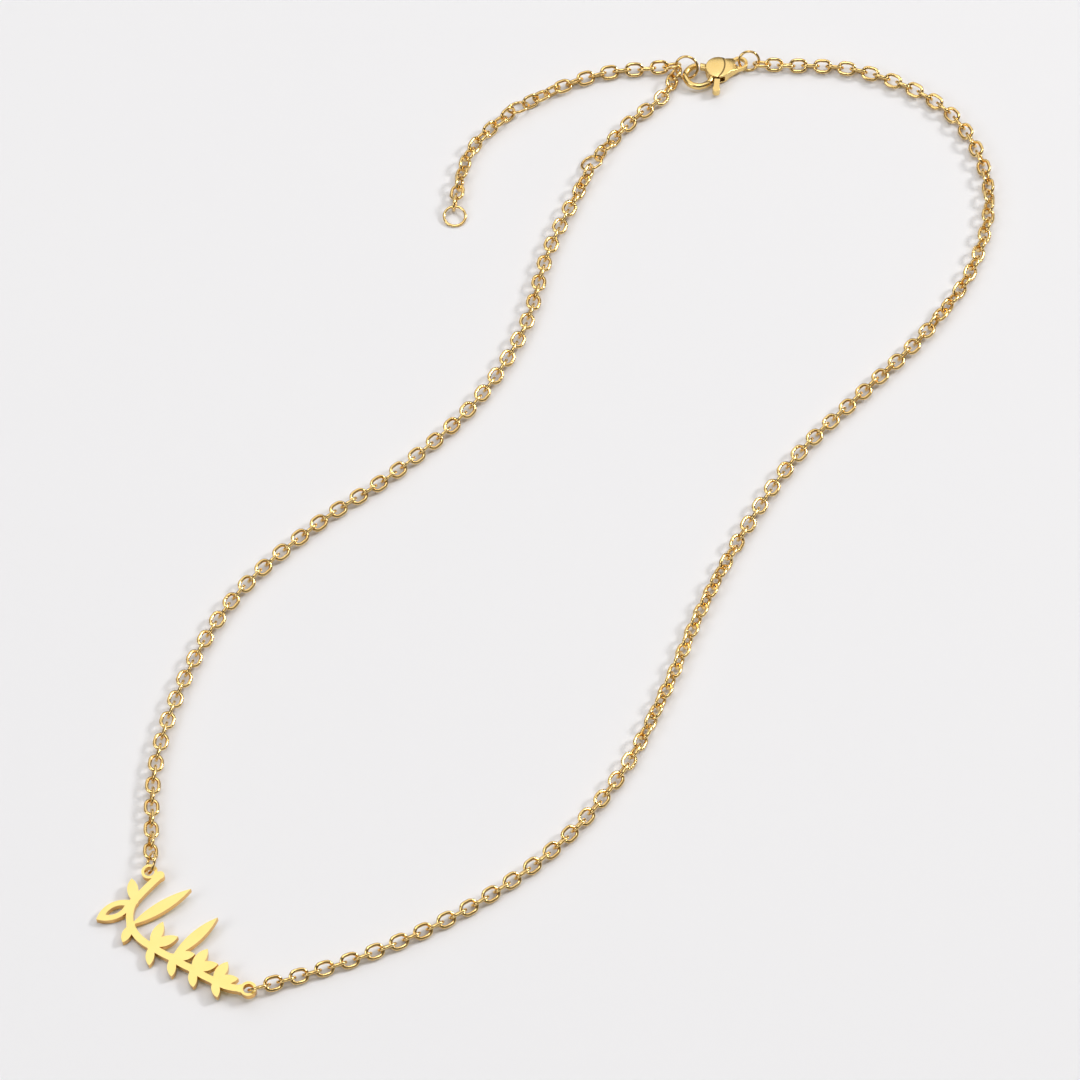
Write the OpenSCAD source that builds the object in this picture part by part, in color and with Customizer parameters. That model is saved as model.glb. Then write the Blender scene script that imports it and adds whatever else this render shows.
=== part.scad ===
// Nameplate necklace lying open on a table: a pierced plate, two lengths of flat cable chain,
// a short extender with its rings, and a lobster clasp hooked on one of them.
// The plate lies at the front (-Y), the clasp at the back (+Y), the table is z = 0.

/* [Chain] */
// Distance from one link to the next
link_pitch = 1.875; // [1.85:0.005:1.95]
// Width of a link across its two sides
link_w = 2.3; // [2.1:0.05:2.4]
// Width of the link's flattened wire, seen on its flat face
wire_w = 0.46; // [0.4:0.01:0.48]
// Thickness of the link's wire between its two flat faces
wire_t = 0.33; // [0.28:0.01:0.35]
// Play between two links
link_gap = 0.23; // [0.22:0.01:0.25]
// Play between an end link and the ring that it hangs on
hold_gap = 0.28; // [0.25:0.01:0.32]

/* [Rings] */
// Outer diameter of the extender's two plain rings
ring_d = 3.7; // [3.4:0.05:4]
// Outer diameter of the ring that the clasp is hooked on
hooked_ring_d = 3.9; // [3.8:0.05:4.1]
// Outer diameter of the jump rings at the plate and at the clasp
jump_d = 3.5; // [3.3:0.05:3.7]
// Diameter of the round wire of all rings
ring_wire = 0.42; // [0.34:0.01:0.46]

/* [Nameplate] */
// Thickness of the plate's sheet metal
plate_t = 0.95; // [0.8:0.05:1.1]
// Width of the branch that runs along the plate
stroke_w = 1.05; // [0.9:0.05:1.3]
// Diameter of the knots where the branch changes its bow
knot_d = 1.25; // [1.15:0.05:1.4]
// Distance between the two eyelets
eyelet_span = 24.1; // [22:0.1:26]
// Hole of an eyelet
eyelet_hole = 1.5; // [1.45:0.05:1.6]
// Outer diameter of an eyelet
eyelet_d = 2.3; // [2.2:0.05:2.6]
// Length of the short leaves
leaf_l = 3.9; // [3.4:0.1:4.4]
// Width of the short leaves
leaf_w = 1.6; // [1.3:0.05:1.8]
// Length of the tall leaves
tall_leaf_l = 10; // [9:0.1:10.5]
// Width of the tall leaves
tall_leaf_w = 1.7; // [1.4:0.05:1.9]
// Length of the pierced leaf at the far left
pierced_leaf_l = 5.9; // [5.4:0.1:6.2]
// Width of the pierced leaf
pierced_leaf_w = 2.7; // [2.4:0.05:2.9]
// Width of the metal round the pierced leaf's opening
leaf_rim = 0.8; // [0.6:0.05:0.95]
// How much the plate is tipped up towards its inner edge, in degrees
plate_tilt = 5; // [3:0.5:7]

/* [Clasp] */
// Thickness of the clasp at its middle
clasp_t = 2.2; // [2:0.05:2.3]
// Thickness of the clasp at its tail eye
tail_t = 0.7; // [0.6:0.05:0.75]
// Thickness of the domed body at its rim
rim_t = 1.5; // [1.3:0.05:1.6]
// Outer diameter of the hooked end
hook_d = 5; // [4.9:0.05:5.1]
// Width of the hook's rod, seen from above
hook_w = 0.95; // [0.85:0.05:1]
// Height of the hook's rod
hook_t = 1.1; // [1:0.05:1.2]
// Width of the body where the lever turns
clasp_body_d = 4; // [3.8:0.05:4.1]
// Distance from the tail eye to the middle of the hook
clasp_reach = 6.8; // [6.6:0.05:7]
// Outer diameter of the tail eye
eye_d = 2.55; // [2.45:0.05:2.65]
// Hole of the tail eye
eye_hole = 1.6; // [1.55:0.05:1.7]
// Thickness of the lever
lever_t = 0.8; // [0.7:0.05:0.9]
// Diameter of the rivet that the lever turns on
pin_d = 0.7; // [0.6:0.05:0.8]
// Radial play of the lever on its rivet
pin_play = 0.05; // [0.03:0.01:0.08]
// Running gap between the lever and the body
lever_gap = 0.12; // [0.1:0.01:0.15]
// How far the lever opens, in degrees
lever_open = 18; // [12:1:19]
// Length of the thumb tab from the rivet
tab_reach = 4.1; // [3.8:0.05:4.3]
// Width of the thumb tab's round end
tab_d = 1.2; // [1:0.05:1.3]

/* [Hidden] */
$fn = 48;
gold = "gold";
// Sides of the large circles: the plate's bows and leaves, and the clasp's dome.
bow_sides = 96;
dome_sides = 200;

// Where things lie on the table, x and y of each ring's middle and of the plate's left eyelet.
left_eyelet = [-58.7, -64.3];
joint_place = [4.45, 64.1];
extender_place = [-6.9, 74.95];
end_place = [-16.5, 54];
tail_place = [27.46, 83.48];

// Which way the plate and the clasp point, in degrees from +X.
plate_heading = -53;
clasp_heading = 194.4;

// In the clasp's own frame: the middle of its hook, and from there the middle of the ring that
// it is hooked on.
hook_place = [clasp_reach, 0.8];
hooked_offset = [1.484, -1.75];

// Each ring's lean: the way its level diameter points, and how far its left side is raised.
left_plate_lean = [90, -66];
right_plate_lean = [18, -58];
joint_lean = [52, -25];
hooked_lean = [-15, 55];
extender_lean = [208, 27];
end_lean = [0, 12];
clasp_lean = [0, 60];

// The inner points of each chain's course. Both ends are the rings that the chain hangs on.
left_course = [[-58.5, -45.5], [-54.5, -30], [-47.5, -16], [-36.5, -4], [-24.5, 6], [-13.5, 18],
    [-6, 32], [-2, 47.5]];
right_course = [[-26.5, -77], [-13, -69.5], [-1, -59.5], [8, -47.5], [14.5, -33.5], [20, -19],
    [26.5, -5], [34.5, 8.5], [44.5, 20], [54.5, 31.5], [62.5, 45], [65, 60], [59.5, 74], [46.5, 82]];
extender_1_course = [[10, 71.5], [15.5, 77]];
extender_2_course = [[8, 82], [1, 79.5]];
extender_3_course = [[-12.5, 69], [-15, 64]];

// How each chain is rolled about its own line: share of its length, roll of every other link.
left_rolls = [[0, 26], [0.06, 12], [0.3, 20], [0.55, 28], [0.8, 18], [0.93, 16], [1, 56]];
right_rolls = [[0, 34], [0.28, 28], [0.33, 68], [0.42, 66], [0.47, 20], [0.66, 12],
    [0.7, -45], [0.77, -60], [0.81, -28], [0.96, -33], [1, -52]];
extender_1_rolls = [[0, 66], [0.45, 20], [1, 30]];
extender_2_rolls = [[0, 34], [0.35, 57], [0.6, 60], [1, 105]];
extender_3_rolls = [[0, -68], [0.3, -50], [0.65, -50], [1, -84]];

// Length over which a chain comes down from a raised ring to the table.
settle = 9;
// Number of links over which a chain turns to meet its ring.
turn_links = 4;
// Points on each span of a course.
course_steps = 12;

// Where a chain's end sits round its ring, counted from the ring's level diameter. A pair is
// the two ends of one chain, a jump ring's holds are worked out below.
left_end_hold = 210;
extender_1_holds = [0, 213];
extender_2_holds = [180, 180];
extender_3_holds = [20, 92];

bend_r = (link_w - wire_w) / 2;
plate_along = [cos(plate_heading), sin(plate_heading)];

// The plate's branch, from the left eyelet to the right one. Its first knot bites into the rim
// of the left eyelet and its last is on the rim of the right one.
stem_bite = 0.1;
stem_top = (eyelet_d / 2 + knot_d / 2 - stem_bite) * direction(30);
branch_end = [eyelet_span, 0] + eyelet_d / 2 * direction(228);
// The joints between them, as shares of the eyelet span along and across it.
branch_joints = [[0.105, -0.185], [0.222, -0.291], [0.41, -0.278], [0.55, -0.228],
    [0.685, -0.178], [0.83, -0.124]];
// How far each bow of the branch turns, in degrees.
bow_turns = [8, 42, 42, 16, 14, 14, 30];
branch_points = concat([stem_top], eyelet_span * branch_joints, [branch_end]);

// The leaves: the joint that each grows from, its heading, and shares of its kind's length and
// width. The pierced leaf grows from the first joint.
short_leaves = [[1, 150, 0.95, 1], [2, -58, 0.75, 0.85], [3, 120, 1.05, 1], [3, 72, 1.03, 1],
    [3, -40, 0.8, 0.8], [4, 60, 0.85, 0.95], [4, -36, 0.78, 0.8], [5, 108, 0.95, 1],
    [5, 62, 0.95, 1], [5, -32, 0.76, 0.8], [6, 110, 0.88, 1], [6, 56, 0.88, 0.95],
    [6, -26, 0.7, 0.75]];
tall_leaves = [[2, 86, 1, 1], [4, 97, 0.88, 1]];
pierced_leaf_heading = -100;
// How much wider the pierced leaf's rim is at its tips.
tip_rim = 1.8;
// The plate's lowest edge is the pierced leaf's tip, which lies on the table.
plate_drop = -branch_points[1][1] - pierced_leaf_l * sin(pierced_leaf_heading);
eyelet_z = plate_drop * sin(plate_tilt) + plate_t / 2 * cos(plate_tilt);

function ring_mid_r(d) = (d - ring_wire) / 2;
function direction(heading) = [cos(heading), sin(heading)];
function lean_side(lean) =
    [-sin(lean[0]) * cos(lean[1]), cos(lean[0]) * cos(lean[1]), sin(lean[1])];
// Height of a leaning ring's middle when its low side lies on the table.
function ring_z(d, lean) = ring_mid_r(d) * abs(sin(lean[1])) + ring_wire / 2;
function ring_mid(d, place, lean) = [place[0], place[1], ring_z(d, lean)];
// Where a chain hangs on a ring, at an angle counted in the ring's own plane: the middle of
// the ring's wire there, and the wire's direction.
function level_side(lean) = concat(direction(lean[0]), 0);
function ring_hold(d, mid, lean, angle) = [
    mid + ring_mid_r(d)
        * (cos(angle) * level_side(lean) + sin(angle) * lean_side(lean)),
    cos(angle) * lean_side(lean) - sin(angle) * level_side(lean)];

// Where a point of the clasp's own frame lies on the table.
function clasp_point(p) = tail_place + p[0] * direction(clasp_heading)
    + p[1] * direction(clasp_heading + 90);

// A jump ring holds on both sides along a level line that runs below its middle, so the
// holds sit at this angle under the ring's level diameter.
function low_angle(lean, hang) = -sign(lean[1]) * asin(hang / ring_mid_r(jump_d));
function half_line(hang) = sqrt(pow(ring_mid_r(jump_d), 2) - hang * hang);
function plate_ring_hang(lean) = (ring_z(jump_d, lean) - eyelet_z) / abs(sin(lean[1]));
function plate_ring_mid(eyelet, lean) = let (hang = plate_ring_hang(lean))
    concat(eyelet + half_line(hang) * direction(lean[0]), eyelet_z)
        + sign(lean[1]) * hang * lean_side(lean);

right_eyelet = left_eyelet + eyelet_span * plate_along;
left_ring_mid = plate_ring_mid(left_eyelet, left_plate_lean);
right_ring_mid = plate_ring_mid(right_eyelet, right_plate_lean);
joint_mid = ring_mid(ring_d, joint_place, joint_lean);
hooked_place = clasp_point(hook_place + hooked_offset);
hooked_mid = ring_mid(hooked_ring_d, hooked_place, hooked_lean);
extender_mid = ring_mid(ring_d, extender_place, extender_lean);
end_mid = ring_mid(ring_d, end_place, end_lean);

// The clasp's ring stands in the middle of the tail eye, its line to the chain level.
tail_z = clasp_t / 2;
clasp_hang = (ring_z(jump_d, clasp_lean) - tail_z) / sin(clasp_lean[1]);
clasp_ring_mid = concat(tail_place, tail_z) + [half_line(clasp_hang), 0, 0]
    + clasp_hang * lean_side(clasp_lean);

// A smooth course through the points, each span a cubic that leaves along its neighbours' line.
function smooth_point(p, i, t) = let (n = len(p) - 1,
    b = p[i], c = p[i + 1],
    a = i > 0 ? p[i - 1] : 2 * b - c,
    d = i + 2 <= n ? p[i + 2] : 2 * c - b)
    0.5 * (2 * b + (c - a) * t + (2 * a - 5 * b + 4 * c - d) * t * t
        + (3 * b - a - 3 * c + d) * t * t * t);
function smooth_course(p) = concat(
    [for (i = [0:len(p) - 2]) for (k = [0:course_steps - 1]) smooth_point(p, i, k / course_steps)],
    [p[len(p) - 1]]);
function flat(p) = [p[0], p[1]];
// The end of a chain that comes from a point and takes a ring's wire: just past the wire.
function past_wire(hold, point) = let (way = flat(hold[0]) - point)
    flat(hold[0]) + (ring_wire / 2 + hold_gap - link_gap / 2) * way / norm(way);
function running_lengths(p) =
    [for (i = 0, d = 0; i < len(p); d = d + (i + 1 < len(p) ? norm(p[i + 1] - p[i]) : 0), i = i + 1) d];
function keyed(keys, values, axis) = [for (i = [0:len(keys) - 1]) [keys[i], values[i][axis]]];
// Height of a rolled link's middle over its lowest edge.
function link_z(roll) = link_w / 2 * abs(sin(roll)) + wire_t / 2 * abs(cos(roll));
// Roll of a link that takes a wire square through it, and the shorter way to turn there.
function square_roll(wire, heading) = atan2(wire[0] * sin(heading) - wire[1] * cos(heading), wire[2]);
function nearest_turn(angle) = angle - 180 * round(angle / 180);
function raised(end_z, base_z, s) = max(0, end_z - base_z) * pow(max(0, 1 - s / settle), 2);

// The flat outline of a link: two half rounds and two straight sides.
module oval(width, straight) {
    for (side = [-1, 1])
        translate([side * straight / 2, 0])
            circle(d = width);
    square([straight, width], center = true);
}

module link(length) {
    straight = length - link_w;
    translate([0, 0, -wire_t / 2])
        linear_extrude(wire_t)
            difference() {
                oval(link_w, straight);
                oval(link_w - 2 * wire_w, straight);
            }
}

// Loose links along a course from one hold to the other, each a quarter turn from the last.
// The last few links at each end turn until the end link takes the ring's wire squarely.
module chain(from, course, to, rolls) {
    line = smooth_course(concat([past_wire(from, course[0])], course,
        [past_wire(to, course[len(course) - 1])]));
    lengths = running_lengths(line);
    total = lengths[len(lengths) - 1];
    xs = keyed(lengths, line, 0);
    ys = keyed(lengths, line, 1);
    count = round(total / link_pitch);
    spacing = total / count;
    places = [for (k = [0:count]) [lookup(k * spacing, xs), lookup(k * spacing, ys)]];
    headings = [for (k = [0:count - 1]) let (step = places[k + 1] - places[k])
        atan2(step[1], step[0])];
    own = [for (k = [0:count - 1]) lookup((k + 0.5) / count, rolls) + (k % 2) * 90];
    first_turn = nearest_turn(square_roll(from[1], headings[0]) - own[0]);
    last_turn = nearest_turn(square_roll(to[1], headings[count - 1]) - own[count - 1]);
    turned = [for (k = [0:count - 1]) own[k] + first_turn * max(0, 1 - k / turn_links)
        + last_turn * max(0, 1 - (count - 1 - k) / turn_links)];
    joints = [for (k = [0:count]) let (s = k * spacing,
        z = max(link_z(turned[max(0, k - 1)]), link_z(turned[min(count - 1, k)])))
        concat(places[k], z + raised(from[0][2], z, s) + raised(to[0][2], z, total - s))];
    for (k = [0:count - 1]) {
        step = joints[k + 1] - joints[k];
        translate((joints[k] + joints[k + 1]) / 2)
            rotate([0, 0, headings[k]])
                rotate([0, -asin(step[2] / norm(step)), 0])
                    rotate([turned[k], 0, 0])
                        link(norm(step) + 2 * wire_w + link_gap);
    }
}

// A closed ring of round wire, its level diameter along its heading, its left side raised.
module ring(d, mid, lean) {
    color(gold)
        translate(mid)
            rotate([0, 0, lean[0]])
                rotate([lean[1], 0, 0])
                    rotate_extrude()
                        translate([ring_mid_r(d), 0])
                            circle(d = ring_wire);
}

// A bow of the branch between two points: a ring's sector that turns by the given angle.
module bow(a, b, turn) {
    chord = b - a;
    r = norm(chord) / (2 * sin(turn / 2));
    middle = (a + b) / 2 + r * cos(turn / 2) * [-chord[1], chord[0]] / norm(chord);
    reach = (r + stroke_w) / cos(turn / 4);
    translate(middle)
        rotate(atan2(chord[1], chord[0]) - 90)
            intersection() {
                difference() {
                    circle(r = r + stroke_w / 2, $fn = bow_sides);
                    circle(r = r - stroke_w / 2, $fn = bow_sides);
                }
                polygon([[0, 0], reach * direction(-turn / 2), [reach, 0],
                    reach * direction(turn / 2)]);
            }
}

// A leaf from its base at the origin along +X: two equal bows that meet at its ends.
module leaf(length, width) {
    r = (length * length + width * width) / (4 * width);
    intersection() {
        translate([length / 2, r - width / 2])
            circle(r = r, $fn = bow_sides);
        translate([length / 2, width / 2 - r])
            circle(r = r, $fn = bow_sides);
    }
}

// A kind's leaves, each grown from its joint of the branch.
module grown_leaves(table, length, width) {
    for (row = table)
        translate(branch_points[row[0]])
            rotate(row[1])
                leaf(length * row[2], width * row[3]);
}

module eyelet(u) {
    translate([u, 0])
        circle(d = eyelet_d);
}

module plate_outline() {
    difference() {
        union() {
            for (k = [0:len(bow_turns) - 1])
                bow(branch_points[k], branch_points[k + 1], bow_turns[k]);
            for (point = branch_points)
                translate(point)
                    circle(d = knot_d);
            grown_leaves(short_leaves, leaf_l, leaf_w);
            grown_leaves(tall_leaves, tall_leaf_l, tall_leaf_w);
            translate(branch_points[1])
                rotate(pierced_leaf_heading)
                    leaf(pierced_leaf_l, pierced_leaf_w);
            eyelet(0);
            eyelet(eyelet_span);
        }
        translate(branch_points[1])
            rotate(pierced_leaf_heading)
                translate([tip_rim * leaf_rim, 0])
                    leaf(pierced_leaf_l - 2 * tip_rim * leaf_rim, pierced_leaf_w - 2 * leaf_rim);
        circle(d = eyelet_hole);
        translate([eyelet_span, 0])
            circle(d = eyelet_hole);
    }
}

module nameplate() {
    color(gold)
        translate(concat(left_eyelet, eyelet_z))
            rotate([0, 0, plate_heading])
                rotate([plate_tilt, 0, 0])
                    translate([0, 0, -plate_t / 2])
                        linear_extrude(plate_t)
                            plate_outline();
}

module left_plate_ring() {
    ring(jump_d, left_ring_mid, left_plate_lean);
}

module right_plate_ring() {
    ring(jump_d, right_ring_mid, right_plate_lean);
}

module joint_ring() {
    ring(ring_d, joint_mid, joint_lean);
}

module hooked_ring() {
    ring(hooked_ring_d, hooked_mid, hooked_lean);
}

module extender_ring() {
    ring(ring_d, extender_mid, extender_lean);
}

module end_ring() {
    ring(ring_d, end_mid, end_lean);
}

module clasp_ring() {
    ring(jump_d, clasp_ring_mid, clasp_lean);
}

module left_chain() {
    color(gold)
        chain(ring_hold(jump_d, left_ring_mid, left_plate_lean,
                low_angle(left_plate_lean, plate_ring_hang(left_plate_lean))),
            left_course, ring_hold(ring_d, joint_mid, joint_lean, left_end_hold), left_rolls);
}

module right_chain() {
    color(gold)
        chain(ring_hold(jump_d, right_ring_mid, right_plate_lean,
                low_angle(right_plate_lean, plate_ring_hang(right_plate_lean))),
            right_course, ring_hold(jump_d, clasp_ring_mid, clasp_lean,
                low_angle(clasp_lean, clasp_hang)), right_rolls);
}

module extender_chain_1() {
    color(gold)
        chain(ring_hold(ring_d, joint_mid, joint_lean, extender_1_holds[0]), extender_1_course,
            ring_hold(hooked_ring_d, hooked_mid, hooked_lean, extender_1_holds[1]),
            extender_1_rolls);
}

module extender_chain_2() {
    color(gold)
        chain(ring_hold(hooked_ring_d, hooked_mid, hooked_lean, extender_2_holds[0]),
            extender_2_course,
            ring_hold(ring_d, extender_mid, extender_lean, extender_2_holds[1]),
            extender_2_rolls);
}

module extender_chain_3() {
    color(gold)
        chain(ring_hold(ring_d, extender_mid, extender_lean, extender_3_holds[0]),
            extender_3_course,
            ring_hold(ring_d, end_mid, end_lean, extender_3_holds[1]), extender_3_rolls);
}

// The clasp's own frame: the tail eye at the origin, the hook along +X, the thumb side +Y.
hook_to_rivet = 3.3;
pivot = [clasp_reach - hook_to_rivet, 0.35];
// The hook's rod and the gate share a circle: where the rod's tip and root are on it.
hook_r = (hook_d - hook_w) / 2;
// The tail is a little narrower than its eye where it leaves it, and this wide at its root.
eye_shoulder = 0.1;
tail_half_w = eye_d / 2 - eye_shoulder;
tail_root = [1.4, 1.35];
// The rivet's ends are sunk below the body's faces.
pin_sunk = 0.15;
pin_l = clasp_t - 2 * pin_sunk;
hook_tip_turn = -104;
hook_root_turn = 163;
gate_from = 205;
gate_to = 248;
// The slot is the lever's outline at these shares of its swing.
slot_shares = [0:0.25:1];
// Which way the lever's two arms point from the rivet.
gate_arm = -28;
tab_arm = 70;
arm_w = 0.9;
gate_arm_reach = 2.8;
hub_d = 2.1;
dome_r = (pow(clasp_body_d / 2, 2) + pow(clasp_t / 2, 2) - pow(rim_t / 2, 2)) / (clasp_t - rim_t);

module in_clasp_frame() {
    translate(concat(tail_place, tail_z))
        rotate([0, 0, clasp_heading])
            children();
}

// A flat shape made a plate of the given thickness, centred on the clasp's mid-plane.
module plate(thickness) {
    translate([0, 0, -thickness / 2])
        linear_extrude(thickness)
            children();
}

// A stretch of the hook's round-edged rod between two turns about the hook's middle.
module rod(start, stop) {
    translate(concat(hook_place, 0))
        rotate([0, 0, start])
            rotate_extrude(angle = stop - start)
                translate([hook_r, 0])
                    rotate(90)
                        oval(hook_w, hook_t - hook_w);
}

module tail_outline() {
    polygon([[0, tail_half_w], [pivot[0] - tail_root[0], pivot[1] + tail_root[1]],
        [pivot[0] - tail_root[0], pivot[1] - tail_root[1]], [0, -tail_half_w]]);
}

// The body's dome: a disc and the tail, thinned towards the rim by two spheres.
module domed_body() {
    intersection() {
        plate(clasp_t)
            union() {
                translate(pivot)
                    circle(d = clasp_body_d);
                tail_outline();
            }
        translate(concat(pivot, clasp_t / 2 - dome_r))
            sphere(r = dome_r, $fn = dome_sides);
        translate(concat(pivot, dome_r - clasp_t / 2))
            sphere(r = dome_r, $fn = dome_sides);
    }
}

module arm(turn, reach, width) {
    rotate(turn)
        translate([0, -width / 2])
            square([reach, width]);
}

// The lever's flat outline about the rivet, grown by the running gap for its slot.
module lever_outline(extra) {
    circle(d = hub_d + 2 * extra);
    arm(gate_arm, gate_arm_reach + extra, arm_w + 2 * extra);
    arm(tab_arm, tab_reach, arm_w + 2 * extra);
}

module clasp_body() {
    color(gold)
        in_clasp_frame() {
            difference() {
                union() {
                    domed_body();
                    rod(hook_tip_turn, hook_root_turn);
                    plate(tail_t)
                        union() {
                            circle(d = eye_d);
                            tail_outline();
                        }
                }
                translate(concat(pivot, 0))
                    plate(lever_t + 2 * lever_gap)
                        for (share = slot_shares)
                            rotate(lever_open * share)
                                lever_outline(lever_gap);
                plate(2 * clasp_t)
                    circle(d = eye_hole);
            }
            translate(concat(pivot, 0))
                plate(pin_l)
                    circle(d = pin_d);
        }
}

module clasp_lever() {
    color(gold)
        in_clasp_frame()
            difference() {
                union() {
                    translate(concat(pivot, 0)) {
                        plate(lever_t)
                            lever_outline(0);
                        rotate([0, 0, tab_arm])
                            plate(hook_t)
                                intersection() {
                                    translate([clasp_body_d / 2 + lever_gap, -arm_w / 2])
                                        square([tab_reach, arm_w]);
                                    circle(r = tab_reach);
                                }
                        rotate([0, 0, tab_arm])
                            translate([tab_reach, 0, 0])
                                plate(hook_t)
                                    circle(d = tab_d);
                    }
                    difference() {
                        rod(gate_from, gate_to);
                        translate(concat(pivot, 0))
                            plate(2 * clasp_t)
                                circle(r = clasp_body_d / 2 + lever_gap);
                    }
                }
                translate(concat(pivot, 0))
                    plate(2 * clasp_t)
                        circle(d = pin_d + 2 * pin_play);
            }
}

nameplate();
left_plate_ring();
right_plate_ring();
left_chain();
right_chain();
joint_ring();
extender_chain_1();
extender_chain_2();
extender_chain_3();
hooked_ring();
extender_ring();
end_ring();
clasp_ring();
clasp_body();
clasp_lever();
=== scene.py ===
import math

import bmesh
import bpy
import numpy as np
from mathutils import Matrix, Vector


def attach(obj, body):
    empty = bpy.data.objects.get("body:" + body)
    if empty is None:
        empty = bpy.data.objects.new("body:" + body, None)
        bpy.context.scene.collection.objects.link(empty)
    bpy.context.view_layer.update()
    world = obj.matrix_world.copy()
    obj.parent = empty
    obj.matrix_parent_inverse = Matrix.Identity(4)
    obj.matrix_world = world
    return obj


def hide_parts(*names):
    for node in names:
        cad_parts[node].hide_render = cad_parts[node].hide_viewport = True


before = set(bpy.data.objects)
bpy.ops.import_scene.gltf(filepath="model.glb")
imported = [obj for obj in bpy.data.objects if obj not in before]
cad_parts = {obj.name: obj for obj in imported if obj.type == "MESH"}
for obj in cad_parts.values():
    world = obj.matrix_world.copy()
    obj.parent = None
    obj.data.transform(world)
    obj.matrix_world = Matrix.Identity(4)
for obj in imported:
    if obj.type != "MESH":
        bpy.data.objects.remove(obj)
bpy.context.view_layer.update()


# The table.
# Smooth off-white paper on a flat top, with only a faint change of tone across it. The necklace
# lies on it as it was laid.
class Value:
    """One output of a material's node, on which arithmetic adds Math nodes."""

    def __init__(self, finish, socket):
        self.finish = finish
        self.socket = socket

    def _math(self, operation, a, b):
        return self.finish.node("ShaderNodeMath", {"operation": operation}, {0: a, 1: b})

    def __add__(self, other):
        return self._math("ADD", self, other)

    def __radd__(self, other):
        return self._math("ADD", other, self)

    def __sub__(self, other):
        return self._math("SUBTRACT", self, other)

    def __rsub__(self, other):
        return self._math("SUBTRACT", other, self)

    def __mul__(self, other):
        return self._math("MULTIPLY", self, other)

    def __rmul__(self, other):
        return self._math("MULTIPLY", other, self)

    def __pow__(self, other):
        return self._math("POWER", self, other)


class Finish:
    """A material of nodes: one Principled shader and whatever is worked out for its sockets."""

    def __init__(self, name, **constants):
        self.material = bpy.data.materials.new(name)
        self.material.use_nodes = True
        self.tree = self.material.node_tree
        self.shader = self.tree.nodes["Principled BSDF"]
        for socket, value in constants.items():
            self.shader.inputs[socket].default_value = value

    def node(self, kind, settings, sockets, out=0):
        """A node of a kind: its settings first, then values or links for its sockets."""
        made = self.tree.nodes.new(kind)
        for key, value in settings.items():
            setattr(made, key, value)
        for key, value in sockets.items():
            if isinstance(value, Value):
                self.tree.links.new(value.socket, made.inputs[key])
            else:
                made.inputs[key].default_value = value
        return Value(self, made.outputs[out])

    def feeds(self, socket, value):
        """Joins a worked-out value to a socket of the shader."""
        self.tree.links.new(value.socket, self.shader.inputs[socket])

    def place(self):
        """The point on the object, in metres."""
        return self.node("ShaderNodeTexCoord", {}, {}, "Object")

    def noise(self, waves, detail, roughness=0.5):
        """Noise from 0 to 1 with so many waves to the metre."""
        return self.node("ShaderNodeTexNoise", {}, {"Vector": self.place(), "Scale": waves,
                                                    "Detail": detail, "Roughness": roughness})

    def blend(self, share, low, high):
        """A colour between two, by a share from 0 to 1. Sockets 6 and 7 of the node are its two
        colours, and its output 2 is the colour between them."""
        return self.node("ShaderNodeMix", {"data_type": "RGBA"}, {0: share, 6: low, 7: high}, 2)

    def relief(self, height, depth):
        """A bump of the normal from a height of 0 to 1 that stands for so many metres."""
        return self.node("ShaderNodeBump", {}, {"Height": height, "Distance": depth})


def in_scene(name, data):
    """An object at the origin that shows a mesh, a light or a camera."""
    made = bpy.data.objects.new(name, data)
    bpy.context.scene.collection.objects.link(made)
    return made


def put_mesh(name, vertices, faces, finish):
    """A smooth-shaded object of points, in metres, and of the faces between them."""
    mesh = bpy.data.meshes.new(name)
    mesh.from_pydata(np.asarray(vertices).tolist(), [], np.asarray(faces).tolist())
    mesh.materials.append(finish.material)
    mesh.polygons.foreach_set("use_smooth", np.ones(len(mesh.polygons), bool))
    mesh.update()
    return in_scene(name, mesh)


TABLE_HALF = 1.6            # half the side of the table, in metres
PAPER_WAVES = 9.0           # waves of tone to the metre
PAPER_DIM = (0.865, 0.875, 0.905, 1)
PAPER_BRIGHT = (0.88, 0.89, 0.915, 1)

paper = Finish("table_paper", Roughness=0.75)
paper.feeds("Base Color", paper.blend(paper.noise(PAPER_WAVES, detail=3.0), PAPER_DIM,
                                      PAPER_BRIGHT))
table_corners = TABLE_HALF * np.array([(-1, -1, 0), (1, -1, 0), (1, 1, 0), (-1, 1, 0)])
table = put_mesh("table", table_corners, [(0, 1, 2, 3)], paper)

# The studio light.
# A wide soft light from behind and above and a smaller one overhead, a low one from the right that
# draws the short shadows, a cool one from the near left, and dim warm surroundings for the gold.
MM = 0.001                  # one millimetre, in metres
LOOKED_AT = Vector((-3.5 * MM, -6.5 * MM, 0.9 * MM))    # by the lights and the camera
SURROUNDINGS = (0.42, 0.37, 0.32, 1)
SURROUNDINGS_STRENGTH = 0.34


def soft_light(name, azimuth, elevation, distance, size, watts, colour):
    """A square area light that looks at the necklace. It stands at a distance along the level
    way of its azimuth, counted from the camera's side round by the right, tipped up by its
    elevation. Angles are in degrees, lengths in metres."""
    a = math.radians(azimuth)
    e = math.radians(elevation)
    way = Vector((math.sin(a) * math.cos(e), -math.cos(a) * math.cos(e), math.sin(e)))
    light = bpy.data.lights.new(name, "AREA")
    light.shape = "SQUARE"
    light.size = size
    light.energy = watts
    light.color = colour
    lamp = in_scene(name, light)
    lamp.location = LOOKED_AT + way * distance
    lamp.rotation_mode = "QUATERNION"
    lamp.rotation_quaternion = way.to_track_quat("Z", "Y")


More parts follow.
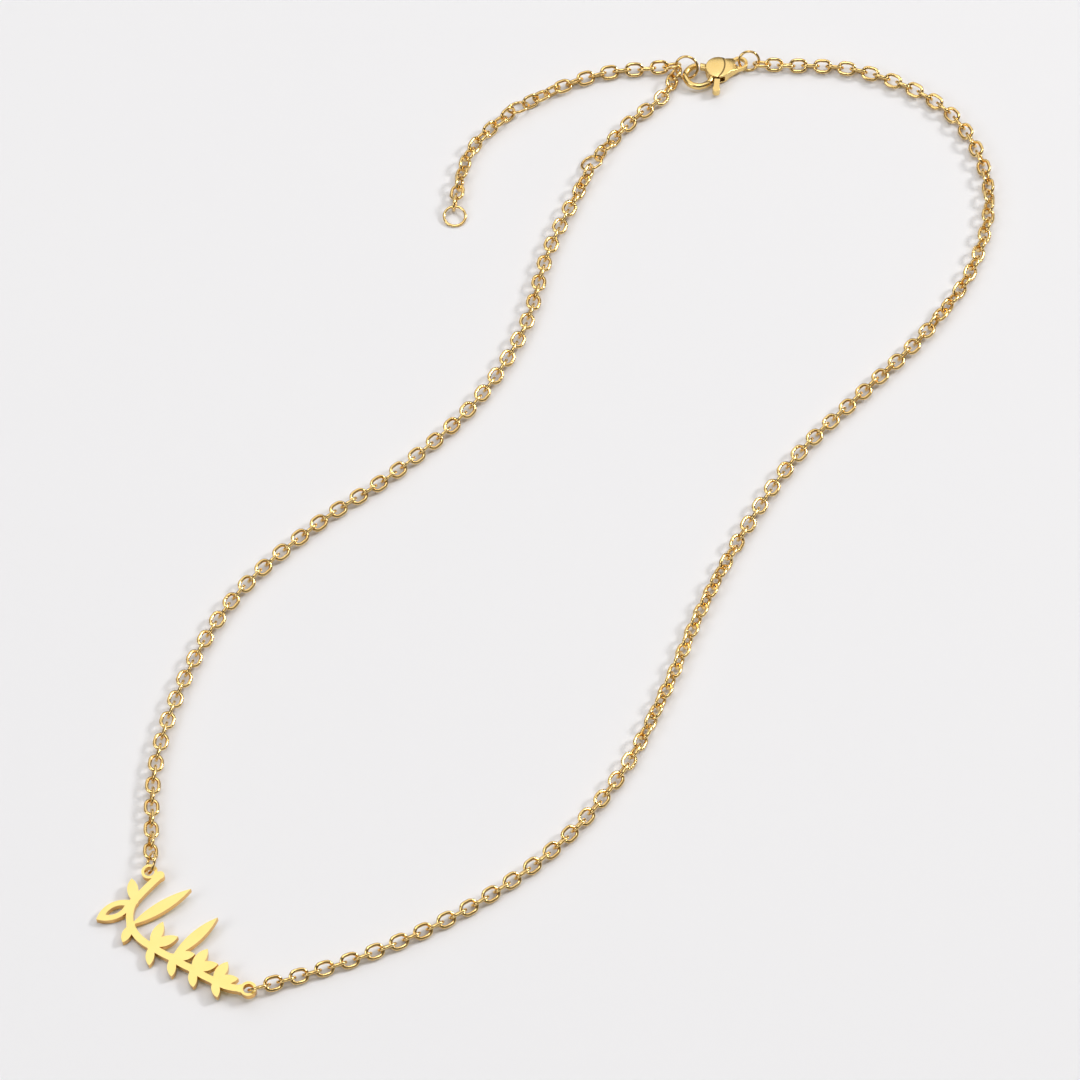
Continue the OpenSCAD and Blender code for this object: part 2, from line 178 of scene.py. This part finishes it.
soft_light("overhead", azimuth=180, elevation=60, distance=1.6, size=2.2, watts=15.0,
           colour=(1.0, 0.99, 0.98))
soft_light("top", azimuth=0, elevation=88, distance=1.5, size=0.5, watts=3.4,
           colour=(1.0, 0.99, 0.98))
soft_light("low_right", azimuth=110, elevation=38, distance=2.0, size=0.45, watts=16.5,
           colour=(1.0, 0.985, 0.975))
soft_light("near_left", azimuth=-60, elevation=40, distance=1.5, size=0.7, watts=5.2,
           colour=(0.96, 0.98, 1.0))

world = bpy.data.worlds.new("studio")
world.use_nodes = True
surroundings = world.node_tree.nodes["Background"]
surroundings.inputs["Color"].default_value = SURROUNDINGS
surroundings.inputs["Strength"].default_value = SURROUNDINGS_STRENGTH
bpy.context.scene.world = world

# The camera.
# A long lens that looks down at the necklace from the near side, at the photo's elevation.
CAMERA_ELEVATION = 55.037   # degrees above the table
CAMERA_DISTANCE = 0.911     # metres from the point that it looks at
CAMERA_ANGLE = 9.95         # degrees across the picture
SENSOR_WIDTH = 36.0         # millimetres

camera_data = bpy.data.cameras.new("camera")
camera_data.sensor_width = SENSOR_WIDTH
camera_data.lens = SENSOR_WIDTH / 2 / math.tan(math.radians(CAMERA_ANGLE / 2))
camera_data.clip_start = 0.01
camera_data.clip_end = 20.0
camera = in_scene("camera", camera_data)
to_camera = Vector((0, -math.cos(math.radians(CAMERA_ELEVATION)),
                    math.sin(math.radians(CAMERA_ELEVATION))))
camera.location = LOOKED_AT + to_camera * CAMERA_DISTANCE
camera.rotation_mode = "QUATERNION"
camera.rotation_quaternion = to_camera.to_track_quat("Z", "Y")
bpy.context.scene.camera = camera
bpy.context.scene.view_settings.view_transform = "Standard"

# The nameplate.
# A pierced ornament sawn from sheet metal and gold plated, satin on its face, glossier on its cut
# edges, whose deeper colour is painted shade. Its two eyelets hang on jump rings.
PLATE_T = 0.95              # thickness of the sheet, in millimetres as all sizes below
EYELET_SPAN = 24.1          # from eyelet to eyelet
LEFT_EYELET = np.array([-58.7, -64.3])
PLATE_HEADING = -53.0       # degrees, from the left eyelet to the right one
PLATE_TILT = 5.0            # degrees that it is tipped up towards its inner edge
PIERCED_LEAF_DROP = 0.185   # how far below the eyelets' line the leaf grows, in spans
PIERCED_LEAF_L = 5.9
PIERCED_LEAF_HEADING = -100.0    # degrees from the line of the eyelets
BROKEN_EDGE = 0.06          # width of the broken edges
CREASE_ANGLE = 40.0         # degrees between two faces from which their edge is sharp
SIDE_COSINE = 0.5           # a face is a cut edge if it leans from the plate's by over 60 degrees
FLAT_ANGLE = 0.4            # degrees within which two faces are one flat face
WELD = 2e-7                 # distance within which two corners are one, in metres
PATCH_WAVES = 260.0         # waves to the metre: patches of tone
DENT_WAVES = 1500.0         # small dents
RUB_WAVES = 5200.0          # rubbed grain
RUB_RELIEF = 0.35           # height of the grain as a share of the dents' height


def gold_finish(name, pale, deep, roughness, grain, dents):
    """Plated metal: a colour between a pale and a deep gold by soft patches, a roughness that a
    fine grain moves by half its size either way, and a relief of dents and a share of the grain,
    so many metres deep."""
    gold = Finish(name, Metallic=1.0, Roughness=roughness)
    gold.tone = gold.blend(gold.noise(PATCH_WAVES, detail=3.0), pale, deep)
    gold.feeds("Base Color", gold.tone)
    rubbed = gold.noise(RUB_WAVES, detail=2.0, roughness=0.6)
    gold.feeds("Roughness", roughness + (rubbed - 0.5) * grain)
    dented = gold.noise(DENT_WAVES, detail=4.0, roughness=0.55)
    gold.feeds("Normal", gold.relief(dented + RUB_RELIEF * rubbed, dents))
    return gold


def solid_copy(node, name, finishes, flat_angle=0.0):
    """A copy of a CAD solid with its loose triangles joined at their corners. With an angle, all
    neighbours that lean from each other by less become one face."""
    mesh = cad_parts[node].data.copy()
    mesh.name = name
    shell = bmesh.new()
    shell.from_mesh(mesh)
    bmesh.ops.remove_doubles(shell, verts=shell.verts, dist=WELD)
    if flat_angle:
        bmesh.ops.dissolve_limit(shell, angle_limit=math.radians(flat_angle), verts=shell.verts,
                                 edges=shell.edges, delimit=set())
    shell.to_mesh(mesh)
    shell.free()
    mesh.materials.clear()
    for finish in finishes:
        mesh.materials.append(finish.material)
    return in_scene(name, mesh)


plate_gold = gold_finish("plate_gold", pale=(0.98, 0.81, 0.32, 1), deep=(0.94, 0.73, 0.24, 1),
                         roughness=0.30, grain=0.10, dents=6e-6)
# The cut edges' finish: glossier, and painted deeper and more orange as painted shade of the
# sides.
plate_side_painted_shade_gold = gold_finish("plate_side_painted_shade_gold", pale=(0.88, 0.56, 0.20, 1),
                              deep=(0.78, 0.44, 0.13, 1), roughness=0.22, grain=0.10, dents=6e-6)
plate = solid_copy("nameplate", "nameplate_dressed", [plate_gold, plate_side_painted_shade_gold], FLAT_ANGLE)

# The plate faces up, but for its tilt about the line of its eyelets. The faces that stand across
# that way are its cut edges and get the second finish, whose deeper colour is painted shade.
heading = math.radians(PLATE_HEADING)
tilt = math.radians(PLATE_TILT)
plate_up = np.array([math.sin(heading) * math.sin(tilt), -math.cos(heading) * math.sin(tilt),
                     math.cos(tilt)])
face_ways = np.empty(3 * len(plate.data.polygons))
plate.data.polygons.foreach_get("normal", face_ways)
is_painted_shade_side = np.abs(face_ways.reshape(-1, 3) @ plate_up) < SIDE_COSINE
plate.data.polygons.foreach_set("material_index", is_painted_shade_side.astype(np.int32))
plate.data.polygons.foreach_set("use_smooth", np.ones(len(plate.data.polygons), bool))
plate.data.set_sharp_from_angle(angle=math.radians(CREASE_ANGLE))

broken = plate.modifiers.new("broken_edges", "BEVEL")
broken.width = BROKEN_EDGE * MM
broken.segments = 2
broken.limit_method = "ANGLE"
broken.angle_limit = math.radians(CREASE_ANGLE)
broken.use_clamp_overlap = True
broken.harden_normals = True
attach(plate, "necklace")
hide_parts("nameplate")

# The round rings.
# Rings of round wire, cut from a coil and closed: two hang the plate, one joins the left chain to
# the extender, three are the extender's own and one holds the clasp's tail.
RING_WIRE = 0.42
RING_D = 3.7                # outer diameters
HOOKED_RING_D = 3.9
JUMP_D = 3.5
RING_AROUND = 72            # points round a ring
RING_ACROSS = 20            # points round its wire
CLASP_T = 2.2               # thickness of the clasp's body
TAIL_PLACE = (27.46, 83.48)     # of the eye in the clasp's tail


def direction(angle):
    """The unit vector on the table that points at an angle in degrees."""
    return np.array([math.cos(math.radians(angle)), math.sin(math.radians(angle))])


def mean_r(d):
    """The radius of the middle of a ring's wire."""
    return (d - RING_WIRE) / 2


def lean_axes(lean):
    """A ring's level side and its raised side. A lean is two angles in degrees: the heading of
    the level side, and how far the raised side, a quarter turn on, is tipped up."""
    level = direction(lean[0])
    tip = math.radians(lean[1])
    return (np.array([level[0], level[1], 0.0]),
            np.array([-level[1] * math.cos(tip), level[0] * math.cos(tip), math.sin(tip)]))


def lying_z(d, lean):
    """The height of a ring's middle when its low side touches the table."""
    return mean_r(d) * abs(math.sin(math.radians(lean[1]))) + RING_WIRE / 2


def lying_ring(d, place, lean):
    """A ring whose low side lies on the table, with its middle over a place."""
    return {"d": d, "mid": np.array([place[0], place[1], lying_z(d, lean)]), "lean": lean}


def held_ring(held_at, lean):
    """A jump ring that holds a piece at one end of a level line under its middle and a chain at
    the other end. Along its raised side the line is so far below the middle that the ring's low
    side lies on the table. Half the line is a side of a right triangle under the ring's radius."""
    below = (lying_z(JUMP_D, lean) - held_at[2]) / abs(math.sin(math.radians(lean[1])))
    half_line = math.sqrt(mean_r(JUMP_D) ** 2 - below * below)
    level, raised = lean_axes(lean)
    mid = np.array(held_at, float) + half_line * level + np.sign(lean[1]) * below * raised
    low_angle = -math.copysign(math.degrees(math.asin(below / mean_r(JUMP_D))), lean[1])
    return {"d": JUMP_D, "mid": mid, "lean": lean, "low_angle": low_angle}


def grid_faces(around, across):
    """Four-sided faces of a grid of points that closes on itself both ways."""
    i, j = np.meshgrid(np.arange(around), np.arange(across), indexing="ij")
    next_i = (i + 1) % around
    next_j = (j + 1) % across
    return np.stack([i * across + j, next_i * across + j, next_i * across + next_j,
                     i * across + next_j], axis=-1).reshape(-1, 4)


def ring_points(ring):
    """Points of a ring: round a circle of the wire's middle line, and round the wire, whose
    radius goes outwards with the cosine and across with the sine of the second angle."""
    level, raised = lean_axes(ring["lean"])
    axis = np.cross(level, raised)
    a = np.linspace(0, 2 * math.pi, RING_AROUND, endpoint=False)[:, None, None]
    b = np.linspace(0, 2 * math.pi, RING_ACROSS, endpoint=False)[None, :, None]
    outwards = np.cos(a) * level + np.sin(a) * raised
    reach = mean_r(ring["d"]) + RING_WIRE / 2 * np.cos(b)
    points = ring["mid"] + reach * outwards + RING_WIRE / 2 * np.sin(b) * axis
    return points.reshape(-1, 3) * MM


# Both eyelets lie as high as the plate's tilt lifts them over the tip of its pierced leaf.
plate_drop = (EYELET_SPAN * PIERCED_LEAF_DROP
              - PIERCED_LEAF_L * math.sin(math.radians(PIERCED_LEAF_HEADING)))
eyelet_z = plate_drop * math.sin(tilt) + PLATE_T / 2 * math.cos(tilt)
right_eyelet = LEFT_EYELET + EYELET_SPAN * direction(PLATE_HEADING)

# A lying ring has its diameter, the place of its middle and its lean. A held one has the place
# where it holds its piece, and its lean.
RINGS = {
    "left_plate_ring": held_ring((*LEFT_EYELET, eyelet_z), (90, -66)),
    "right_plate_ring": held_ring((*right_eyelet, eyelet_z), (18, -58)),
    "joint_ring": lying_ring(RING_D, (4.45, 64.1), (52, -25)),
    "hooked_ring": lying_ring(HOOKED_RING_D, (19.203, 82.341), (-15, 55)),
    "extender_ring": lying_ring(RING_D, (-6.9, 74.95), (208, 27)),
    "end_ring": lying_ring(RING_D, (-16.5, 54), (0, 12)),
    "clasp_ring": held_ring((*TAIL_PLACE, CLASP_T / 2), (0, 60)),
}

chain_gold = gold_finish("chain_gold", pale=(0.98, 0.76, 0.36, 1), deep=(0.76, 0.47, 0.14, 1),
                         roughness=0.09, grain=0.08, dents=3e-6)
for ring_name, ring in RINGS.items():
    piece = put_mesh(ring_name + "_wire", ring_points(ring), grid_faces(RING_AROUND, RING_ACROSS),
                     chain_gold)
    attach(piece, "necklace")
    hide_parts(ring_name)

# The chains.
# Fine cable chain: oval links of soldered wire, each a quarter turn from the last, rolled so that
# their faces are flat. Loose links, so the chain lies where it was laid.
LINK_PITCH = 1.875
LINK_W = 2.3                # width of a link over its outline
WIRE_W = 0.46               # the wire by which the links are spaced and laid: its width
WIRE_T = 0.33               # and its thickness
ROUND_W = 0.54              # the wire as it is drawn, rounder: its width
ROUND_T = 0.42              # and its thickness over the two flats
LINK_GAP = 0.23             # play between two links
HOLD_GAP = 0.28             # play between a link and a ring
SETTLE = 9.0                # length over which a chain comes down from a ring
TURN_LINKS = 4              # links over which it turns square to a ring's wire
COURSE_STEPS = 12           # steps from one point of a course to the next
BEND_POINTS = 9             # points round each end of a link
ARC_POINTS = 3              # points of each round side of the wire
LINK_AROUND = 2 * BEND_POINTS
LINK_ACROSS = 2 * ARC_POINTS

# Points that each chain passes, in its order.
LEFT_COURSE = [(-58.5, -45.5), (-54.5, -30), (-47.5, -16), (-36.5, -4), (-24.5, 6), (-13.5, 18),
               (-6, 32), (-2, 47.5)]
RIGHT_COURSE = [(-26.5, -77), (-13, -69.5), (-1, -59.5), (8, -47.5), (14.5, -33.5), (20, -19),
                (26.5, -5), (34.5, 8.5), (44.5, 20), (54.5, 31.5), (62.5, 45), (65, 60),
                (59.5, 74), (46.5, 82)]
EXTENDER_1_COURSE = [(10, 71.5), (15.5, 77)]
EXTENDER_2_COURSE = [(8, 82), (1, 79.5)]
EXTENDER_3_COURSE = [(-12.5, 69), (-15, 64)]

# Rolls of each chain about its own line: the share of its length, and the roll there in degrees.
LEFT_ROLLS = [(0, 26), (0.06, 12), (0.3, 20), (0.55, 28), (0.8, 18), (0.93, 16), (1, 56)]
RIGHT_ROLLS = [(0, 34), (0.28, 28), (0.33, 68), (0.42, 66), (0.47, 20), (0.66, 12), (0.7, -45),
               (0.77, -60), (0.81, -28), (0.96, -33), (1, -52)]
EXTENDER_1_ROLLS = [(0, 66), (0.45, 20), (1, 30)]
EXTENDER_2_ROLLS = [(0, 34), (0.35, 57), (0.6, 60), (1, 105)]
EXTENDER_3_ROLLS = [(0, -68), (0.3, -50), (0.65, -50), (1, -84)]

# For each chain the ring where it starts and the angle round it, its course, the ring and the
# angle where it ends, and its rolls. A held ring needs no angle, because its chain hangs low.
CHAINS = {
    "left_chain": (("left_plate_ring",), LEFT_COURSE, ("joint_ring", 210), LEFT_ROLLS),
    "right_chain": (("right_plate_ring",), RIGHT_COURSE, ("clasp_ring",), RIGHT_ROLLS),
    "extender_chain_1": (("joint_ring", 0), EXTENDER_1_COURSE, ("hooked_ring", 213),
                         EXTENDER_1_ROLLS),
    "extender_chain_2": (("hooked_ring", 180), EXTENDER_2_COURSE, ("extender_ring", 180),
                         EXTENDER_2_ROLLS),
    "extender_chain_3": (("extender_ring", 20), EXTENDER_3_COURSE, ("end_ring", 92),
                         EXTENDER_3_ROLLS),
}


def ring_hold(ring_name, angle=None):
    """The middle of a ring's wire at an angle round it, and the wire's direction there. Without
    an angle it is where a held ring's chain hangs on it."""
    ring = RINGS[ring_name]
    level, raised = lean_axes(ring["lean"])
    a = math.radians(ring["low_angle"] if angle is None else angle)
    return (ring["mid"] + mean_r(ring["d"]) * (math.cos(a) * level + math.sin(a) * raised),
            math.cos(a) * raised - math.sin(a) * level)


def smooth_course(points):
    """A cubic through each span that leaves every point along the line of its neighbours. Past
    both ends the line is carried on by its own mirror image."""
    p = np.array(points, float)
    p = np.vstack([2 * p[0] - p[1], p, 2 * p[-1] - p[-2]])
    a, b, c, d = (p[k:len(p) - 3 + k, None, :] for k in range(4))
    t = (np.arange(COURSE_STEPS) / COURSE_STEPS)[None, :, None]
    spans = 0.5 * (2 * b + (c - a) * t + (2 * a - 5 * b + 4 * c - d) * t ** 2
                   + (3 * b - a - 3 * c + d) * t ** 3)
    return np.vstack([spans.reshape(-1, 2), p[-2]])


def past_wire(hold, point):
    """Where a chain ends that comes from a point: just past the wire of the ring it holds."""
    way = hold[0][:2] - np.array(point, float)
    return hold[0][:2] + (RING_WIRE / 2 + HOLD_GAP - LINK_GAP / 2) * way / np.linalg.norm(way)


def nearest_turn(angle):
    """The same turn of a link, which looks alike after a half turn, by a quarter at most."""
    return angle - 180 * np.floor(angle / 180 + 0.5)


def square_roll(wire, heading):
    """The roll of a link that takes a wire square through it: the angle from straight up at
    which the wire lies, seen along the link."""
    h = math.radians(heading)
    return math.degrees(math.atan2(wire[0] * math.sin(h) - wire[1] * math.cos(h), wire[2]))


def joint_places(line):
    """Where a chain's joints lie on the table, and how far along: its line is cut into equal
    steps, as many as go nearest to the pitch."""
    run = np.concatenate([[0], np.cumsum(np.linalg.norm(np.diff(line, axis=0), axis=1))])
    along = np.linspace(0, run[-1], int(run[-1] / LINK_PITCH + 0.5) + 1)
    places = np.stack([np.interp(along, run, line[:, 0]), np.interp(along, run, line[:, 1])],
                      axis=1)
    return places, along


def link_rolls(headings, rolls, start_wire, end_wire):
    """Each link's roll, in radians: read off the chain's rolls at the link's share of the chain,
    with a quarter turn more at every second link. Over the few links next to a ring it goes
    evenly over to the roll that takes the ring's wire square."""
    count = len(headings)
    number = np.arange(count)
    shares, angles = np.array(rolls, float).T
    own = np.interp((number + 0.5) / count, shares, angles) + number % 2 * 90
    first = nearest_turn(square_roll(start_wire, headings[0]) - own[0])
    last = nearest_turn(square_roll(end_wire, headings[-1]) - own[-1])
    return np.radians(own + first * np.maximum(0, 1 - number / TURN_LINKS)
                      + last * np.maximum(0, 1 - (count - 1 - number) / TURN_LINKS))


def joint_heights(rolls, along, start_z, end_z):
    """Each joint's height: that of the higher of its two links when both lie on the table, raised
    towards a ring's wire by the square of the nearness to it."""
    lying = LINK_W / 2 * np.abs(np.sin(rolls)) + WIRE_T / 2 * np.abs(np.cos(rolls))
    needed = np.maximum(np.append(lying[0], lying), np.append(lying, lying[-1]))
    near_start = np.maximum(0, 1 - along / SETTLE) ** 2
    near_end = np.maximum(0, 1 - (along[-1] - along) / SETTLE) ** 2
    return needed + (np.maximum(0, start_z - needed) * near_start
                     + np.maximum(0, end_z - needed) * near_end)


def laid_links(start, course, end, rolls):
    """Middles, headings, slopes, rolls and lengths of the links of a chain from hold to hold. A
    link reaches from joint to joint, and past each by its wire's width and half the play."""
    line = smooth_course([past_wire(start, course[0]), *course, past_wire(end, course[-1])])
    places, along = joint_places(line)
    step = np.diff(places, axis=0)
    headings = np.degrees(np.arctan2(step[:, 1], step[:, 0]))
    turns = link_rolls(headings, rolls, start[1], end[1])
    heights = joint_heights(turns, along, start[0][2], end[0][2])
    joints = np.column_stack([places, heights])
    step = np.diff(joints, axis=0)
    reach = np.linalg.norm(step, axis=1)
    return ((joints[1:] + joints[:-1]) / 2, np.radians(headings), np.arcsin(step[:, 2] / reach),
            turns, reach + 2 * WIRE_W + LINK_GAP)


def wire_section():
    """Round wire rolled flat on two sides: two arcs of the wire's circle, cut by the flats. The
    first column goes across the wire, from the link's outline inwards, and the second is its
    thickness."""
    half = math.asin(ROUND_T / ROUND_W)
    a = np.linspace(-half, half, ARC_POINTS)
    a = np.concatenate([a, math.pi + a])
    return ROUND_W / 2 * np.column_stack([np.cos(a) - 1, np.sin(a)]) + [WIRE_W / 2, 0]


def turned(u, v, angles):
    """Two coordinates of each link's points, turned in their plane by the link's own angle."""
    cosine = np.cos(angles)[:, None, None]
    sine = np.sin(angles)[:, None, None]
    return u * cosine - v * sine, u * sine + v * cosine


def link_points(middles, headings, slopes, rolls, lengths):
    """Points of all links of a chain: an oval of two half rounds, swept by the wire's section,
    drawn out to each link's length and turned by its roll, its slope and its heading."""
    a = np.concatenate([np.linspace(-math.pi / 2, math.pi / 2, BEND_POINTS),
                        np.linspace(math.pi / 2, 3 * math.pi / 2, BEND_POINTS)])
    end_side = np.repeat([1.0, -1.0], BEND_POINTS)
    across, thick = wire_section().T
    r = (LINK_W - WIRE_W) / 2 + across
    drawn_out = ((lengths - LINK_W) / 2)[:, None, None]
    x = r * np.cos(a)[:, None] + end_side[:, None] * drawn_out
    y, z = turned(r * np.sin(a)[:, None], thick, rolls)
    x, z = turned(x, z, slopes)
    x, y = turned(x, y, headings)
    points = np.stack([x, y, z], axis=-1) + middles[:, None, None, :]
    return points.reshape(-1, 3) * MM


for chain_name, (start, course, end, rolls) in CHAINS.items():
    links = laid_links(ring_hold(*start), course, ring_hold(*end), rolls)
    first_points = np.arange(len(links[0])) * LINK_AROUND * LINK_ACROSS
    faces = grid_faces(LINK_AROUND, LINK_ACROSS)[None] + first_points[:, None, None]
    piece = put_mesh(chain_name + "_links", link_points(*links), faces.reshape(-1, 4), chain_gold)
    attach(piece, "necklace")
    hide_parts(chain_name)

# The lobster clasp's body.
# A small cast shell with a hooked claw and a flat tail eye, barrel polished so that its edges are
# soft. The lever sits in a slot through it and turns on a rivet that is closed flush.
# The seam is a dark line painted into the body's colour, as painted shade of a groove.
SEAM_MIDDLE = (21.887, 82.668)  # of the round that the seam follows
SEAM_R = 3.25
SEAM_HALF_WIDTH = 0.2
# The seam's painted shade is at its full darkness above this height.
SEAM_TOP = 1.2              # height from which the seam is at its full depth
SEAM_FADE = 0.2             # height over which it fades out below that
SEAM_PAINTED_SHADE = (0.10, 0.055, 0.02, 1)
BODY_GRAIN = 0.05           # size of the faces of the body's skin
BODY_PASSES = 5             # passes of its smoothing


def seam_painted_shade_share(finish):
    """How far a point is in the seam's painted shade over the top of the shell, from 0 to 1: the
    distance to a circle about an upright line, within half the seam's width, above a height."""
    x, y, z = (finish.node("ShaderNodeSeparateXYZ", {}, {"Vector": finish.place()}, axis)
               for axis in ("X", "Y", "Z"))
    from_middle = ((x - SEAM_MIDDLE[0] * MM) ** 2 + (y - SEAM_MIDDLE[1] * MM) ** 2) ** 0.5
    off_circle = ((from_middle - SEAM_R * MM) ** 2) ** 0.5
    near = finish.node("ShaderNodeMapRange", {"interpolation_type": "SMOOTHSTEP"},
                       {"Value": off_circle, "From Min": 0.0, "From Max": SEAM_HALF_WIDTH * MM,
                        "To Min": 1.0, "To Max": 0.0})
    high = finish.node("ShaderNodeMapRange", {"interpolation_type": "SMOOTHSTEP"},
                       {"Value": z, "From Min": (SEAM_TOP - SEAM_FADE) * MM,
                        "From Max": SEAM_TOP * MM, "To Min": 0.0, "To Max": 1.0})
    return near * high


def soft_skin(piece, grain, passes):
    """Gives a piece one even skin of small faces, in millimetres, and softens its edges: each
    pass moves every point half way to the middle of its neighbours."""
    skin = piece.modifiers.new("skin", "REMESH")
    skin.mode = "VOXEL"
    skin.voxel_size = grain * MM
    skin.use_smooth_shade = True
    soft = piece.modifiers.new("soft", "SMOOTH")
    soft.factor = 0.5
    soft.iterations = passes


clasp_gold = gold_finish("clasp_gold", pale=(0.94, 0.72, 0.32, 1), deep=(0.84, 0.58, 0.20, 1),
                         roughness=0.26, grain=0.12, dents=6e-6)
# The body's colour goes dark along the seam: painted shade.
clasp_gold.feeds("Base Color", clasp_gold.blend(seam_painted_shade_share(clasp_gold), clasp_gold.tone,
                                                SEAM_PAINTED_SHADE))
clasp_body = solid_copy("clasp_body", "clasp_body_cast", [clasp_gold])
soft_skin(clasp_body, BODY_GRAIN, BODY_PASSES)
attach(clasp_body, "necklace")
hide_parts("clasp_body")

# The lobster clasp's lever.
# A stamped arm with the gate at one end and a thumb tab at the other, held shut by a coil spring
# hidden in the body.
LEVER_GRAIN = 0.04
LEVER_PASSES = 4

lever_gold = gold_finish("lever_gold", pale=(0.92, 0.70, 0.31, 1), deep=(0.80, 0.55, 0.19, 1),
                         roughness=0.24, grain=0.12, dents=6e-6)
clasp_lever = solid_copy("clasp_lever", "clasp_lever_stamped", [lever_gold])
soft_skin(clasp_lever, LEVER_GRAIN, LEVER_PASSES)
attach(clasp_lever, "lever")
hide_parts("clasp_lever")
